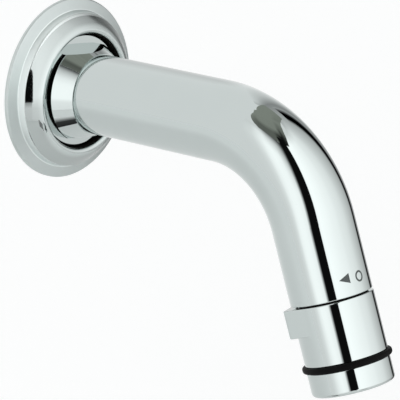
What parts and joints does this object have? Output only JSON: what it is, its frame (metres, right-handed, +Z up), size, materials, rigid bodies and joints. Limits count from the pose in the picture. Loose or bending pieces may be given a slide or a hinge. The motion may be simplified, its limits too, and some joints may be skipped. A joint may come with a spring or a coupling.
{
  "type": "wall-mounted basin tap",
  "caption": "Wall-mounted basin spout with a bent tube, a push-on wall rosette and a ceramic valve turned by a collar with a finger tab at the mouth.",
  "frame": {"origin": "on the axis of the supply thread, in the plane of the wall's face", "axes": "+Z up; the tap stands out from the wall along -Y; +Y runs along the supply thread into the wall"},
  "size_m": [0.064, 0.1537, 0.1179],
  "materials": {
    "chrome": "polished chrome plate on brass",
    "chromed_brass": "polished chrome on the head, bare brass on the thread",
    "brass": "machined brass",
    "dark_brass": "blackened brass",
    "steel": "stainless steel",
    "rubber": "black sealing rubber",
    "grip_rubber": "satin black rubber",
    "ceramic": "lapped white ceramic",
    "bearing_plastic": "natural slide plastic",
    "insert_plastic": "light grey moulded plastic"
  },
  "bodies": {
    "tap_body": {"inlet_nipple": "chromed_brass", "wall_rosette": "chrome", "rosette_ring": "rubber", "supply_ring": "rubber", "inlet_strainer": "steel", "grub_screw": "steel", "spout_tail": "brass", "tail_ring_rear": "rubber", "tail_ring_front": "rubber", "spout_tube": "chrome", "valve_socket": "brass", "valve_housing": "dark_brass", "housing_ring": "rubber", "disc_seal": "rubber", "fixed_disc": "ceramic", "slide_ring": "bearing_plastic", "thrust_washer": "bearing_plastic"},
    "control": {"turning_disc": "ceramic", "disc_driver": "brass", "driver_ring_upper": "rubber", "driver_ring_lower": "rubber", "collar_nut": "brass", "control_collar": "chrome", "grip_ring": "grip_rubber", "aerator_shell": "chrome", "aerator_washer": "rubber", "inlet_sieve": "steel", "jet_plate": "insert_plastic", "flow_straightener": "insert_plastic"}
  },
  "joints": [
    {"name": "collar_turn", "type": "hinge", "parent": "tap_body", "child": "control", "pos_m": [0, -0.11762, -0.05203], "axis": [0, -0.3173, -0.9483], "range_deg": [0, 90]}
  ]
}
